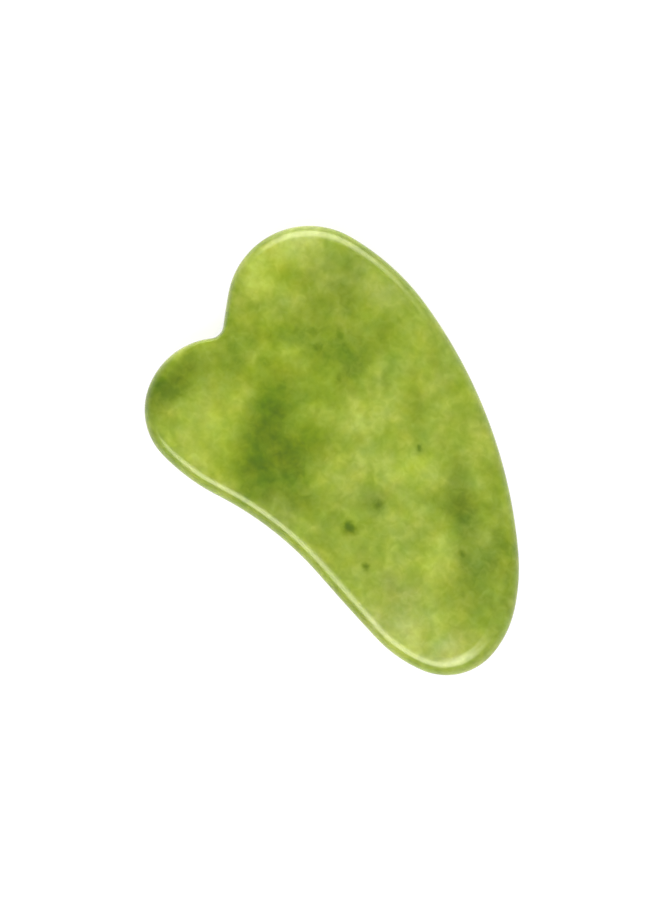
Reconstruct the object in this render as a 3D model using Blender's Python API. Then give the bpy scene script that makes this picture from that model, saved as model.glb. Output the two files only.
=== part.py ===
"""Gua sha scraper: a flat board ground from one piece of green stone.

One end has two round lobes with a notch between them, the other end is a round tip. A long convex
back joins the big lobe to the tip, and a hollow belly joins the tip to the small lobe. The edge is
rounded over from one flat face to the other all the way round.

Frame: metres, +Z up. +X runs from the lobes to the tip, and +Y from the belly to the back. The board
lies on its flat underside at z = 0, and the origin is below the middle of its bounding box.
"""

import math

import bmesh
import bpy
import numpy as np

MM = 0.001

# Driving dimensions, in millimetres and degrees.
LENGTH = 84.0
THICKNESS = 6.0
EDGE_DEPTH = 3.0  # how far the rounded edge reaches in from the outline
EDGE_LAND = 0.4  # height of the upright strip left at the middle of the edge

# The outline, anticlockwise from the outermost point of the tip, as arcs that run into one another
# without a corner. Each has a radius, negative where the outline is hollow, and the heading at its
# end. The two radii left open are the ones that close the loop.
START_HEADING = 90.0
OPEN = None
OUTLINE_ARCS = (
    ("tip_upper", 19.0, 117.5),
    ("back_by_tip", 36.0, 135.5),
    ("back", OPEN, 166.5),
    ("shoulder", 46.0, 190.5),
    ("big_lobe", 15.5, 300.5),
    ("notch_wall", 180.0, 302.5),
    ("notch", -2.5, 227.0),
    ("small_lobe", 14.3, 290.5),
    ("small_lobe_under", 12.2, 354.5),
    ("belly_by_lobe", 38.5, 373.5),
    ("belly", OPEN, 351.5),
    ("belly_by_tip", 450.0, 353.5),
    ("under_tip", 26.0, 377.5),
    ("tip", 11.4, 450.0),
)

# How finely the round shapes are faceted.
LONGEST_FACET = 2.4
WIDEST_TURN = 8.0
EDGE_STEPS = 6  # facets from the upright strip to a flat face

STONE_COLOUR = (0.31, 0.41, 0.05, 1.0)
STONE_ROUGHNESS = 0.15


def clear_scene():
    for obj in list(bpy.data.objects):
        bpy.data.objects.remove(obj)


def arc_steps(headings):
    """What an arc of radius 1 between each pair of headings moves by, one column for each arc."""
    return np.stack([np.diff(np.sin(headings)), -np.diff(np.cos(headings))])


def arc_radii(steps):
    """Every arc's radius, with the open ones solved so that the outline ends where it starts."""
    open_arcs = [i for i, (_, radius, _) in enumerate(OUTLINE_ARCS) if radius is OPEN]
    radii = np.array([radius or 0.0 for _, radius, _ in OUTLINE_ARCS])
    radii[open_arcs] = np.linalg.solve(steps[:, open_arcs], -steps @ radii)
    return radii


def outline_points():
    """Points along the outline, LENGTH long and centred on the origin."""
    headings = np.radians([START_HEADING] + [end for _, _, end in OUTLINE_ARCS])
    steps = arc_steps(headings)
    radii = arc_radii(steps)
    points = []
    start = np.zeros(2)
    for i, radius in enumerate(radii):
        turn = abs(headings[i + 1] - headings[i])
        facets = math.ceil(max(abs(radius) * turn / LONGEST_FACET, turn / math.radians(WIDEST_TURN)))
        for heading in np.linspace(headings[i], headings[i + 1], facets, endpoint=False):
            points.append(start + radius * arc_steps([headings[i], heading])[:, 0])
        start = start + radius * steps[:, i]
    points = np.array(points)
    low, high = points.min(axis=0), points.max(axis=0)
    return (points - (low + high) / 2) * LENGTH / (high - low)[0]


def round_over(bm, cap):
    """Rounds the edge from the upright strip up to a flat face, as a quarter ellipse in small insets."""
    rise = (THICKNESS - EDGE_LAND) / 2
    inset, height = 0.0, 0.0
    for i in range(1, EDGE_STEPS + 1):
        angle = math.pi / 2 * i / EDGE_STEPS
        next_inset, next_height = EDGE_DEPTH * (1 - math.cos(angle)), rise * math.sin(angle)
        bmesh.ops.inset_region(
            bm,
            faces=[cap],
            thickness=(next_inset - inset) * MM,
            depth=(next_height - height) * MM,
            use_even_offset=True,
            use_boundary=True,
        )
        inset, height = next_inset, next_height


def board_mesh():
    bm = bmesh.new()
    strip_bottom = (THICKNESS - EDGE_LAND) / 2
    lower = bm.faces.new([bm.verts.new((x * MM, y * MM, strip_bottom * MM)) for x, y in outline_points()])
    raised = bmesh.ops.extrude_face_region(bm, geom=[lower])["geom"]
    bmesh.ops.translate(
        bm,
        verts=[v for v in raised if isinstance(v, bmesh.types.BMVert)],
        vec=(0, 0, EDGE_LAND * MM),
    )
    bmesh.ops.recalc_face_normals(bm, faces=bm.faces)
    round_over(bm, next(f for f in raised if isinstance(f, bmesh.types.BMFace)))
    round_over(bm, lower)
    mesh = bpy.data.meshes.new("jade_board")
    bm.to_mesh(mesh)
    bm.free()
    mesh.shade_smooth()
    return mesh


def stone_material():
    material = bpy.data.materials.new("green_stone")
    material.use_nodes = True
    shader = material.node_tree.nodes["Principled BSDF"]
    shader.inputs["Base Color"].default_value = STONE_COLOUR
    shader.inputs["Roughness"].default_value = STONE_ROUGHNESS
    shader.inputs["Metallic"].default_value = 0.0
    return material


def main():
    clear_scene()
    board = bpy.data.objects.new("jade_board", board_mesh())
    board.data.materials.append(stone_material())
    bpy.context.scene.collection.objects.link(board)


main()
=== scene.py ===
"""The looks of the gua sha board: a polished slab of translucent yellow-green stone, on a white floor."""

import math

import bpy
import numpy as np
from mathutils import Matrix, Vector


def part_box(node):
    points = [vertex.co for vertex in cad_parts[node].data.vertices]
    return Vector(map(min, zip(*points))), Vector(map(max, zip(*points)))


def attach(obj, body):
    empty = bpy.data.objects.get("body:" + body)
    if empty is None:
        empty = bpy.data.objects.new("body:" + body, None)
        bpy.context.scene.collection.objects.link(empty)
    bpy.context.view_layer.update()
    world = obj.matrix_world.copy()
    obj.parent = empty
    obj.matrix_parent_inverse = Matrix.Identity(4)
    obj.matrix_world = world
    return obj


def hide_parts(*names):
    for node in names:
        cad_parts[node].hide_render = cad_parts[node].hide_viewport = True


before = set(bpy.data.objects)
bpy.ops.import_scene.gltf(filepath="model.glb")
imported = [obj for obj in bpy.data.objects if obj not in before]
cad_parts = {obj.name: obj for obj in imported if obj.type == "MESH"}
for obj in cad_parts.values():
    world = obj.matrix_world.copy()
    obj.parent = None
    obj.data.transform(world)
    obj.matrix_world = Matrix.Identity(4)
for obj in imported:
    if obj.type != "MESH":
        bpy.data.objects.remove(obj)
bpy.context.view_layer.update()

MM = 0.001

# The frame, in millimetres.
BOARD = "jade_board"
LOW, HIGH = (np.array(corner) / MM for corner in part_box(BOARD))
LENGTH, _, THICKNESS = HIGH - LOW
MIDDLE = (LOW + HIGH) / 2
HUB = np.array([LOW[0] + 0.44 * LENGTH, MIDDLE[1]])  # a point that sees the whole outline

# The rounded edge at stations anticlockwise from the tip. Each station is a place in the box, as shares
# of its length and width, then how far in the edge reaches, in thicknesses, and how square its section
# is, as the exponent of a superellipse.
EDGE_STATIONS = (
    (1.00, 0.20, 0.62, 1.6),  # tip
    (0.97, 0.40, 0.76, 2.5),
    (0.88, 0.60, 0.70, 2.5),
    (0.60, 0.88, 0.64, 2.5),  # back
    (0.36, 0.98, 0.74, 2.5),
    (0.24, 1.00, 0.64, 2.5),  # top of the big lobe
    (0.11, 0.95, 0.70, 2.4),
    (0.00, 0.78, 0.74, 2.4),
    (0.04, 0.58, 0.40, 2.5),
    (0.07, 0.45, 0.12, 2.4),  # notch
    (0.03, 0.36, 0.12, 2.4),
    (0.01, 0.24, 0.40, 2.5),  # small lobe
    (0.06, 0.08, 0.64, 2.5),
    (0.20, 0.00, 0.66, 2.5),
    (0.46, 0.06, 0.66, 2.5),  # belly
    (0.68, 0.02, 1.00, 2.8),
    (0.80, 0.00, 0.78, 2.8),
    (0.93, 0.06, 0.78, 2.6),
)
EDGE_WANDER = 0.05  # how far hand grinding lets the depth wander either way
WANDER_CYCLES = range(3, 20)  # how many times round the board each of its waves runs
FACE_HOLLOWS = 0.012  # how far the polished faces wander from flat
HOLLOW_WAVES = 9
HOLLOW_LENGTHS = (14, 34)  # the shortest and longest of those waves

# The fineness of the mesh.
LOOP_POINTS = 560
EDGE_BLEND = LOOP_POINTS // 40  # how many points to either side an edge station is blended over
EDGE_RINGS = 18
FACE_RINGS = 30

# The corners of the CAD edge's upright strip are less than this far below the middle.
STRIP_REACH = 0.1 * THICKNESS


def strip_corners():
    """The corners of the CAD board's outline, in order round it."""
    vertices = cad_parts[BOARD].data.vertices
    points = np.array([vertex.co for vertex in vertices]) / MM
    below = MIDDLE[2] - points[:, 2]
    strip_bottom = points[(below > 0) & (below < STRIP_REACH)]
    corners = np.unique(np.round(strip_bottom[:, :2], 3), axis=0)
    bearing = np.arctan2(corners[:, 1] - HUB[1], corners[:, 0] - HUB[0])
    return corners[np.argsort(bearing)]


def smooth_loop(corners, count):
    """count points, evenly spaced, along the closed cubic spline through these corners."""
    ahead = np.roll(corners, -1, axis=0) - corners
    gap = np.linalg.norm(ahead, axis=1)[:, None]
    slope = ahead / gap
    n = len(corners)
    system = np.zeros((n, n))
    for i in range(n):
        system[i, i - 1] = gap[i - 1, 0]
        system[i, i] = 2 * (gap[i - 1, 0] + gap[i, 0])
        system[i, (i + 1) % n] = gap[i, 0]
    bend = np.linalg.solve(system, 6 * (slope - np.roll(slope, 1, axis=0)))
    next_bend = np.roll(bend, -1, axis=0)
    ends = np.concatenate([[0.0], np.cumsum(gap)])
    along = np.arange(count) * ends[-1] / count
    i = np.searchsorted(ends, along, side="right") - 1
    t = (along - ends[i])[:, None]
    return (
        corners[i]
        + t * (slope[i] - gap[i] * (2 * bend[i] + next_bend[i]) / 6)
        + t**2 * bend[i] / 2
        + t**3 * (next_bend[i] - bend[i]) / (6 * gap[i])
    )


def inward(loop):
    """The unit vector into the board at each point of an anticlockwise loop."""
    along = np.roll(loop, -1, axis=0) - np.roll(loop, 1, axis=0)
    along /= np.linalg.norm(along, axis=1)[:, None]
    return np.stack([-along[:, 1], along[:, 0]], axis=1)


def edge_shape(loop):
    """How far in the edge reaches and how square it is along the loop, blended between the stations."""
    stations = np.array(EDGE_STATIONS)
    places = LOW[:2] + stations[:, :2] * (HIGH - LOW)[:2]
    nearest = [np.argmin(np.linalg.norm(loop - place, axis=1)) for place in places]
    window = np.hanning(2 * EDGE_BLEND + 1)
    blended = []
    for values in stations[:, 2:].T:
        along = np.interp(np.arange(len(loop)), nearest, values, period=len(loop))
        around = np.concatenate([along[-EDGE_BLEND:], along, along[:EDGE_BLEND]])
        blended.append(np.convolve(around, window / window.sum(), mode="valid"))
    depth, squareness = blended
    return depth * THICKNESS, squareness


def wander(count, seed):
    """A closed run of values between about -1 and 1, as left by many short passes on a grinding wheel."""
    draw = np.random.default_rng(seed)
    turn = np.arange(count) / count * 2 * math.pi
    waves = [
        np.sin(cycles * turn + draw.uniform(0, 2 * math.pi)) * draw.uniform(0.4, 1.0) / cycles**0.5
        for cycles in WANDER_CYCLES
    ]
    total = np.sum(waves, axis=0)
    return total / np.abs(total).max()


def hollows(points, seed):
    """How deep the polish has dished a face at each point, between 0 and 1."""
    draw = np.random.default_rng(seed)
    total = np.zeros(len(points))
    for _ in range(HOLLOW_WAVES):
        heading, length = draw.uniform(0, math.pi), draw.uniform(*HOLLOW_LENGTHS)
        direction = np.array([math.cos(heading), math.sin(heading)])
        total += np.sin(points @ direction * 2 * math.pi / length + draw.uniform(0, 2 * math.pi))
    return 0.5 + total / (2 * HOLLOW_WAVES)


def half_board(loop, side, seed):
    """Rings of points from the middle of the edge to the hub, on the upper side (1) or the lower (-1)."""
    step_in = inward(loop)
    depth, squareness = edge_shape(loop)
    depth = depth + EDGE_WANDER * wander(len(loop), seed)
    rings = []
    for angle in np.linspace(0, math.pi / 2, EDGE_RINGS + 1)[1:]:
        inset = 1 - math.cos(angle) ** (2 / squareness)
        rise = math.sin(angle) ** (2 / squareness)
        ring = loop + step_in * (depth * inset)[:, None]
        rings.append(np.column_stack([ring, rise]))
    rim = rings[-1][:, :2]
    for share in np.linspace(1, 0, FACE_RINGS + 1)[1:-1]:
        ring = HUB + (rim - HUB) * share
        dish = FACE_HOLLOWS * hollows(ring, seed) * (1 - share**6)
        rings.append(np.column_stack([ring, 1 - 2 * dish / THICKNESS]))
    rings = np.array(rings)
    rings[:, :, 2] = MIDDLE[2] + side * rings[:, :, 2] * THICKNESS / 2
    return rings


def loft(rings, centres):
    """Faces between rings of points that follow on from each other, closed by a fan at each end."""
    count = rings.shape[1]
    points = [*rings.reshape(-1, 3), *centres]
    faces = []
    for r in range(len(rings) - 1):
        for i in range(count):
            j = (i + 1) % count
            faces.append((r * count + i, r * count + j, (r + 1) * count + j, (r + 1) * count + i))
    first_centre, last_centre = len(points) - 2, len(points) - 1
    last = (len(rings) - 1) * count
    for i in range(count):
        j = (i + 1) % count
        faces.append((first_centre, j, i))
        faces.append((last_centre, last + i, last + j))
    return points, faces


def make_board():
    loop = smooth_loop(strip_corners(), LOOP_POINTS)
    lower = half_board(loop, -1, seed=3)
    upper = half_board(loop, 1, seed=7)
    middle = np.column_stack([loop, np.full(len(loop), MIDDLE[2])])
    rings = np.concatenate([lower[::-1], [middle], upper])
    centres = [(*HUB, lower[-1, :, 2].mean()), (*HUB, upper[-1, :, 2].mean())]
    points, faces = loft(rings, centres)
    mesh = bpy.data.meshes.new("polished_stone")
    mesh.from_pydata([Vector(point) * MM for point in points], [], faces)
    mesh.shade_smooth()
    board = bpy.data.objects.new("polished_stone", mesh)
    bpy.context.scene.collection.objects.link(board)
    board.data.materials.append(jade())
    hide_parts(BOARD)
    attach(board, "root")


class Nodes:
    """Adds nodes to a tree. An input given as a socket is linked, and one given as a value is set."""

    def __init__(self, tree):
        self.tree = tree

    def add(self, kind, inputs, **settings):
        node = self.tree.nodes.new(kind)
        for name, value in settings.items():
            setattr(node, name, value)
        for key, value in inputs.items():
            if isinstance(value, bpy.types.NodeSocket):
                self.tree.links.new(value, node.inputs[key])
            else:
                node.inputs[key].default_value = value
        return node

    def math(self, operation, *values):
        return self.add("ShaderNodeMath", dict(enumerate(values)), operation=operation).outputs[0]

    def vector(self, operation, *values):
        return self.add("ShaderNodeVectorMath", dict(enumerate(values)), operation=operation).outputs[0]

    def scaled(self, vector, scale):
        node = self.add("ShaderNodeVectorMath", {"Vector": vector, "Scale": scale}, operation="SCALE")
        return node.outputs[0]

    def spread(self, value):
        """A vector with this value in all three places."""
        return self.add("ShaderNodeCombineXYZ", {"X": value, "Y": value, "Z": value}).outputs[0]

    def noise(self, place, size, detail=3.0, roughness=0.5, distortion=0.0):
        """A noise texture whose features are about size across. Its Fac is about 0.5 on average."""
        inputs = {
            "Vector": place,
            "Scale": 1 / size,
            "Detail": detail,
            "Roughness": roughness,
            "Distortion": distortion,
        }
        return self.add("ShaderNodeTexNoise", inputs)

    def fade(self, value, near, far):
        """1 where value is at near, 0 where it is at far, and a smooth step between them."""
        inputs = {"Value": value, "From Min": near, "From Max": far, "To Min": 1.0, "To Max": 0.0}
        return self.add("ShaderNodeMapRange", inputs, interpolation_type="SMOOTHERSTEP").outputs[0]


# The clouds in the stone, and on the big lobe's upper left a patch that is partly cloud and partly painted
# highlight. Each is a soft patch: its centre, half its length, half its width and the turn of its length
# from +X, in millimetres and degrees, then how much lighter it is than the stone round it, and how much
# bluer, in hundredths of full brightness. Darker and yellower are negative.
CLOUDS_AND_HIGHLIGHT = (
    # the dark heart between the belly and the middle, and what streams out of it
    (-14.0, -15.0, 8.0, 5.3, 80, -15.5, 0.5),
    (-8.5, -11.0, 6.0, 3.5, 60, -11.0, -2.0),
    (-20.5, -9.5, 7.0, 4.5, 110, -12.0, -2.0),
    (-11.5, -7.5, 5.0, 3.5, 70, -5.0, -4.0),
    (-20.0, -1.0, 16.0, 7.0, 0, -3.5, -3.0),
    (-18.5, -18.0, 6.0, 5.5, 80, 0.0, -5.0),
    # the small lobe
    (-36.3, -15.5, 7.5, 3.3, 80, -16.0, 1.0),
    (-40.0, -12.0, 6.0, 2.0, 75, 6.0, -2.0),
    (-27.0, -15.5, 9.0, 6.0, 75, 9.0, -1.0),
    (-25.0, -24.0, 6.0, 3.0, 0, 6.0, 0.0),
    (-30.5, -7.0, 5.0, 3.5, 90, -5.0, -1.0),
    (-28.5, -2.5, 4.0, 3.0, 60, 3.5, -1.0),
    # the big lobe
    (-36.5, 11.5, 6.0, 5.0, 70, 9.0, -1.0),
    # partly a cloud, partly a painted highlight: lighter and bluer over the broad highlight on the big
    # lobe's upper left edge
    (-36.5, 20.0, 6.0, 4.5, 65, 14.0, 7.0),
    (-33.5, 13.0, 4.5, 2.4, 10, -8.0, -3.0),
    (-28.5, 4.5, 5.0, 3.0, 60, -6.0, -2.5),
    (-23.5, 4.0, 3.0, 2.0, 20, 4.5, -3.5),
    (-24.0, 13.5, 5.5, 4.0, 60, -7.5, 1.5),
    (-26.5, 21.0, 6.0, 4.5, 60, -1.5, 6.0),
    (-17.0, 23.0, 5.0, 3.0, 20, 4.0, 6.0),
    (-19.0, 8.5, 6.0, 4.0, 10, -8.0, -1.5),
    (-12.5, 17.5, 8.0, 2.5, 95, -5.0, -2.0),
    (-12.5, 8.5, 4.0, 3.0, 100, -6.5, 1.0),
    # the middle
    (-6.5, 3.5, 7.0, 5.0, 40, 9.0, 2.0),
    (-8.0, 0.5, 5.0, 4.0, 80, 4.0, 1.0),
    (-18.5, -4.5, 5.5, 3.5, 85, -5.5, 0.0),
    (0.5, 20.5, 4.5, 2.5, 120, 4.0, 1.5),
    (14.0, 12.5, 5.0, 3.0, 140, 5.0, 1.5),
    (-3.0, -7.5, 6.0, 4.0, 90, 6.5, 1.0),
    (2.5, -2.5, 5.5, 3.5, 10, 6.0, 3.5),
    (2.0, 10.5, 5.0, 3.0, 140, -8.5, -0.5),
    (8.5, 2.0, 6.0, 4.5, 60, 9.0, 2.0),
    (7.0, 1.5, 4.0, 2.2, 70, 1.5, -5.0),
    (6.5, -8.0, 3.6, 3.2, 0, -7.5, 5.5),
    (4.5, -18.0, 6.5, 3.5, 80, -5.0, 0.0),
    (-6.5, -18.0, 5.0, 3.5, 60, -6.0, 0.0),
    (13.0, -21.0, 5.0, 3.0, 140, 4.0, 1.0),
    (-6.0, -21.0, 6.0, 3.0, 150, 0.0, 5.0),
    # towards the tip
    (16.0, 5.5, 4.5, 2.8, 140, -8.0, 2.0),
    (20.0, 2.0, 4.8, 3.2, 20, -14.0, 1.5),
    (26.0, -3.0, 7.0, 3.5, 145, -8.0, 4.0),
    (32.0, -10.0, 6.0, 4.0, 120, -5.0, 2.0),
    (36.5, -8.0, 4.5, 2.5, 105, -6.0, 1.0),
    (29.5, 1.5, 7.0, 3.0, 130, -8.0, 2.0),
    (16.5, -11.0, 7.0, 4.0, 110, 3.0, 2.5),
    (22.5, -9.0, 5.5, 3.5, 120, 4.5, 1.0),
    (13.0, 0.0, 4.5, 3.0, 0, -5.0, -1.0),
    (24.0, -19.0, 11.0, 5.0, 0, 1.0, 6.0),
    (29.0, -20.0, 7.0, 5.0, 70, 7.0, -2.5),
    (26.0, -24.0, 9.0, 3.0, 0, 4.0, 8.0),
    (35.5, -20.0, 5.0, 3.5, 60, 6.0, 9.0),
)

# Small dark grains: centre and half width in millimetres, and how dark.
GRAINS = (
    (6.1, -15.0, 1.5, -18.0),
    (7.5, -8.2, 1.1, -13.0),
    (13.1, -18.4, 0.9, -15.0),
    (6.3, 4.9, 0.7, -12.0),
    (-20.5, 7.0, 0.9, -7.0),
    (-23.0, 8.6, 0.9, -5.0),
    (-18.8, 11.2, 1.0, -6.0),
    (-13.6, 5.0, 0.9, -7.0),
    (25.2, -4.9, 0.8, -6.0),
    (30.3, -10.8, 0.9, -5.0),
    (33.0, -17.0, 1.2, -5.0),
)

PATCH_RIM = 1.6  # how far out a patch has faded away, in half lengths and half widths
PATCH_HEIGHT = 2.5 * THICKNESS

# The noise that tears the clouds and the grains out of their round shapes: its size, the span that it
# moves them over along X, Y and Z, both in millimetres, and its settings.
CLOUD_TEAR = (9.0, (7.0, 7.0, 4.0), {"detail": 4.0, "roughness": 0.55})
GRAIN_TEAR = (1.2, (1.4, 1.4, 1.4), {"detail": 3.0})


def patch(nodes, place, x, y, length, width, turn):
    """1 at the middle of a soft round patch, and 0 from its rim on."""
    inputs = {
        "Vector": place,
        "Location": (x, y, MIDDLE[2]),
        "Rotation": (0.0, 0.0, math.radians(turn)),
        "Scale": (length * PATCH_RIM, width * PATCH_RIM, PATCH_HEIGHT),
    }
    local = nodes.add("ShaderNodeMapping", inputs, vector_type="TEXTURE").outputs[0]
    distance = nodes.add("ShaderNodeVectorMath", {0: local}, operation="LENGTH").outputs["Value"]
    return nodes.fade(distance, 0.0, 1.0)


def torn_place(nodes, place, size, reach, settings):
    """The place, moved about by noise of this size, by up to half of reach either way."""
    drift = nodes.noise(place, size, **settings).outputs["Color"]
    middling = tuple(-span / 2 for span in reach)
    return nodes.vector("ADD", place, nodes.vector("MULTIPLY_ADD", drift, reach, middling))


def stone_fields(nodes, place):
    """(how light, how blue) the stone is at a place, as the clouds have it, with a little painted
    highlight on the big lobe.
    """
    torn = torn_place(nodes, place, *CLOUD_TEAR)
    tone, blue = 0.0, 0.0
    for x, y, length, width, turn, lighter, bluer in CLOUDS_AND_HIGHLIGHT:
        patch_weight = patch(nodes, torn, x, y, length, width, turn)
        tone = nodes.math("MULTIPLY_ADD", patch_weight, lighter, tone)
        blue = nodes.math("MULTIPLY_ADD", patch_weight, bluer, blue)
    ragged = torn_place(nodes, place, *GRAIN_TEAR)
    for x, y, width, lighter in GRAINS:
        tone = nodes.math("MULTIPLY_ADD", patch(nodes, ragged, x, y, width, width, 0), lighter, tone)
    return tone, blue


# The cottony texture inside the stone, from broad billows to fine wisps: size in millimetres, strength
# in hundredths of full brightness, and how wrung it is.
BILLOWS = (
    (8.0, 16.0, 0.3),
    (3.2, 13.0, 0.5),
    (1.4, 11.5, 0.6),
)


def mottle(nodes, place):
    """How much lighter the cottony texture makes the stone."""
    total = 0.0
    for size, strength, wrung in BILLOWS:
        billow = nodes.noise(place, size, detail=2.0, roughness=0.4, distortion=wrung).outputs["Fac"]
        total = nodes.math("ADD", total, nodes.math("MULTIPLY_ADD", billow, strength, -strength / 2))
    return total


# The stone's colour as a screen shows it, red, green and blue, where its tone and blueness are 0, and
# how far one hundredth of tone or of blueness moves it.
STONE_COLOUR = (0.487, 0.552, 0.190)
PER_TONE = (0.0110, 0.0096, 0.0104)
PER_BLUENESS = (0.0, -0.0012, 0.0100)
DARKEST = 0.02
DISPLAY_GAMMA = 2.2

# How far the colour drifts from place to place, and the size of the drifts in millimetres.
DRIFT = (0.07, 0.0, 0.15)
DRIFT_SIZE = 4.0


def stone_colour(nodes, place):
    """The stone's colour at a place, with a little painted highlight on the big lobe, worked out as a
    screen shows it.
    """
    tone, blue = stone_fields(nodes, place)
    tone = nodes.math("ADD", tone, mottle(nodes, place))
    shown = nodes.vector("MULTIPLY_ADD", nodes.spread(tone), PER_TONE, STONE_COLOUR)
    shown = nodes.vector("MULTIPLY_ADD", nodes.spread(blue), PER_BLUENESS, shown)
    drift = nodes.noise(place, DRIFT_SIZE, detail=3.0).outputs["Color"]
    drift = nodes.vector("SUBTRACT", drift, (0.5, 0.5, 0.5))
    shown = nodes.vector("MULTIPLY_ADD", drift, DRIFT, shown)
    shown = nodes.vector("MAXIMUM", shown, (DARKEST, DARKEST, DARKEST))
    return nodes.add("ShaderNodeGamma", {"Color": shown, "Gamma": DISPLAY_GAMMA}).outputs["Color"]


# The polish: its least roughness, the most that smears add to it, and their size in millimetres.
LEAST_ROUGHNESS = 0.12
SMEAR_ROUGHNESS = 0.12
SMEAR_SIZE = 6.0

# The fine grain under the polish: its size in millimetres, its height in metres and how far it shows.
GRAIN_SIZE = 0.5
GRAIN_HEIGHT = 0.00002
GRAIN_STRENGTH = 0.15

# How light enters the stone and spreads in it: the share that spreads, and how far the red, green and
# blue in it go, in units of so many metres.
REFRACTIVE_INDEX = 1.6
SCATTER_SHARE = 0.8
SCATTER_REACH = (0.9, 1.0, 0.35)
SCATTER_UNIT = 0.0015


def polish(nodes, place):
    smears = nodes.noise(place, SMEAR_SIZE, detail=4.0, roughness=0.6).outputs["Fac"]
    return nodes.math("MULTIPLY_ADD", smears, SMEAR_ROUGHNESS, LEAST_ROUGHNESS)


def fine_grain(nodes, place):
    grain = nodes.noise(place, GRAIN_SIZE, detail=4.0, roughness=0.6).outputs["Fac"]
    inputs = {"Height": grain, "Strength": GRAIN_STRENGTH, "Distance": GRAIN_HEIGHT}
    return nodes.add("ShaderNodeBump", inputs).outputs["Normal"]


def jade():
    material = bpy.data.materials.new("polished_jade")
    material.use_nodes = True
    nodes = Nodes(material.node_tree)
    shader = material.node_tree.nodes["Principled BSDF"]
    metres = nodes.add("ShaderNodeTexCoord", {}).outputs["Object"]
    place = nodes.scaled(metres, 1 / MM)
    nodes.tree.links.new(stone_colour(nodes, place), shader.inputs["Base Color"])
    nodes.tree.links.new(polish(nodes, place), shader.inputs["Roughness"])
    nodes.tree.links.new(fine_grain(nodes, place), shader.inputs["Normal"])
    shader.inputs["IOR"].default_value = REFRACTIVE_INDEX
    shader.inputs["Subsurface Weight"].default_value = SCATTER_SHARE
    shader.inputs["Subsurface Radius"].default_value = SCATTER_REACH
    shader.inputs["Subsurface Scale"].default_value = SCATTER_UNIT
    return material


# The main view looks straight down, with the board turned in the picture.
VIEW_TURN = math.radians(40.5)
VIEW_CENTRE = (MIDDLE[0] - 6.2, MIDDLE[1] - 6.2)
VIEW_HEIGHT = 169.4  # what the picture's long side takes in, at the middle of the board
CAMERA_DISTANCE = 800.0
SENSOR = 36.0

# The softboxes, each with the bearing it stands on, clockwise from the picture's right, and its tilt from
# the vertical, in degrees; its length and width in metres; and how bright its middle looks, where a white
# floor in full light is 1.
SOFTBOXES = {
    "softbox_below": (98, 40, 1.8, 0.55, 7.0),
    "softbox_above": (275, 57, 1.55, 0.84, 6.0),
    "softbox_right": (67, 27, 0.34, 0.44, 5.5),
}
SOFTBOX_DISTANCE = 0.8
SOFTBOX_COLOUR = (1.0, 0.99, 0.72)
SOFTBOX_FADE = (0.1, 0.5)  # from where off its middle it dims, and where it is dark, as shares of its side

# The studio's white surroundings, as brightness overhead and at the horizon.
OVERHEAD, HORIZON = 0.31, 0.75

# The floor: half its side in metres, the share of light that it returns, and how bright it glows.
FLOOR_REACH = 3.0
FLOOR_ALBEDO = 0.25
FLOOR_GLOW = 0.78


def make_camera():
    data = bpy.data.cameras.new("camera")
    data.sensor_width = SENSOR
    data.lens = SENSOR * CAMERA_DISTANCE / VIEW_HEIGHT
    camera = bpy.data.objects.new("camera", data)
    camera.location = Vector((*VIEW_CENTRE, MIDDLE[2] + CAMERA_DISTANCE)) * MM
    camera.rotation_euler = (0.0, 0.0, VIEW_TURN)
    bpy.context.scene.collection.objects.link(camera)
    bpy.context.scene.camera = camera


def softbox_falloff(nodes):
    """1 over the middle of a softbox, and 0 at its edges."""
    across = nodes.add("ShaderNodeNewGeometry", {}).outputs["Parametric"]
    falloff = 1.0
    for place in nodes.add("ShaderNodeSeparateXYZ", {0: across}).outputs[:2]:
        off_middle = nodes.math("ABSOLUTE", nodes.math("SUBTRACT", place, 0.5))
        falloff = nodes.math("MULTIPLY", nodes.fade(off_middle, *SOFTBOX_FADE), falloff)
    return falloff


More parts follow.
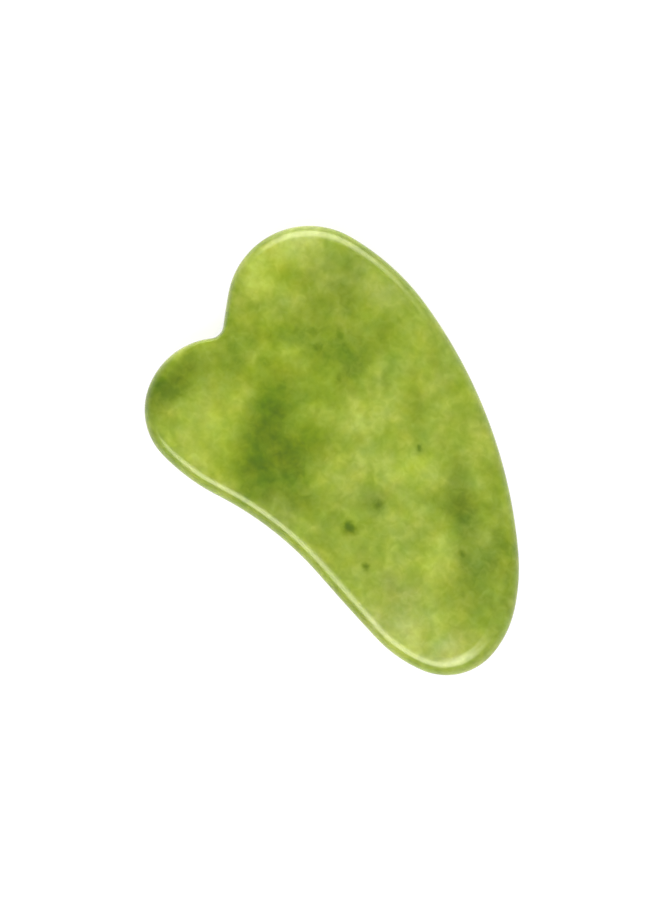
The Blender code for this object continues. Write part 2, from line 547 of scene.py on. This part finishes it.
def make_softbox(name, bearing, tilt, length, width, radiance):
    """A soft light, aimed at the board and dimmer towards its edges."""
    data = bpy.data.lights.new(name, "AREA")
    data.shape = "RECTANGLE"
    data.size, data.size_y = length, width
    data.energy = radiance * math.pi * length * width
    data.color = SOFTBOX_COLOUR
    data.use_nodes = True
    falloff = softbox_falloff(Nodes(data.node_tree))
    data.node_tree.links.new(falloff, data.node_tree.nodes["Emission"].inputs["Strength"])
    light = bpy.data.objects.new(name, data)
    heading = VIEW_TURN - math.radians(bearing)
    lean = math.radians(tilt)
    offset = Vector(
        (math.cos(heading) * math.sin(lean), math.sin(heading) * math.sin(lean), math.cos(lean))
    )
    light.location = Vector(MIDDLE) * MM + offset * SOFTBOX_DISTANCE
    light.rotation_mode = "QUATERNION"
    light.rotation_quaternion = offset.to_track_quat("Z", "Y")
    light.visible_camera = False
    bpy.context.scene.collection.objects.link(light)


def make_surroundings():
    """A white studio, dim overhead and brighter down to the horizon."""
    world = bpy.data.worlds.new("studio")
    world.use_nodes = True
    nodes = Nodes(world.node_tree)
    direction = nodes.add("ShaderNodeTexCoord", {}).outputs["Generated"]
    height = nodes.add("ShaderNodeSeparateXYZ", {0: direction}).outputs["Z"]
    glow = nodes.math("POWER", nodes.fade(height, 0.0, 1.0), 2.0)
    strength = nodes.math("MULTIPLY_ADD", glow, HORIZON - OVERHEAD, OVERHEAD)
    background = world.node_tree.nodes["Background"]
    background.inputs["Color"].default_value = (1.0, 1.0, 1.0, 1.0)
    world.node_tree.links.new(strength, background.inputs["Strength"])
    bpy.context.scene.world = world


def make_floor():
    """A floor that glows white, like a light table, so that hardly any shadow falls on it."""
    mesh = bpy.data.meshes.new("floor")
    corners = [(x * FLOOR_REACH, y * FLOOR_REACH, 0.0) for x, y in ((-1, -1), (1, -1), (1, 1), (-1, 1))]
    mesh.from_pydata(corners, [], [(0, 1, 2, 3)])
    floor = bpy.data.objects.new("floor", mesh)
    bpy.context.scene.collection.objects.link(floor)
    material = bpy.data.materials.new("white_floor")
    material.use_nodes = True
    shader = material.node_tree.nodes["Principled BSDF"]
    shader.inputs["Base Color"].default_value = (FLOOR_ALBEDO, FLOOR_ALBEDO, FLOOR_ALBEDO, 1.0)
    shader.inputs["Roughness"].default_value = 0.9
    shader.inputs["Emission Color"].default_value = (1.0, 1.0, 1.0, 1.0)
    shader.inputs["Emission Strength"].default_value = FLOOR_GLOW
    mesh.materials.append(material)


make_camera()
for softbox, setting in SOFTBOXES.items():
    make_softbox(softbox, *setting)
make_surroundings()
make_floor()
make_board()
bpy.context.scene.view_settings.view_transform = "Standard"
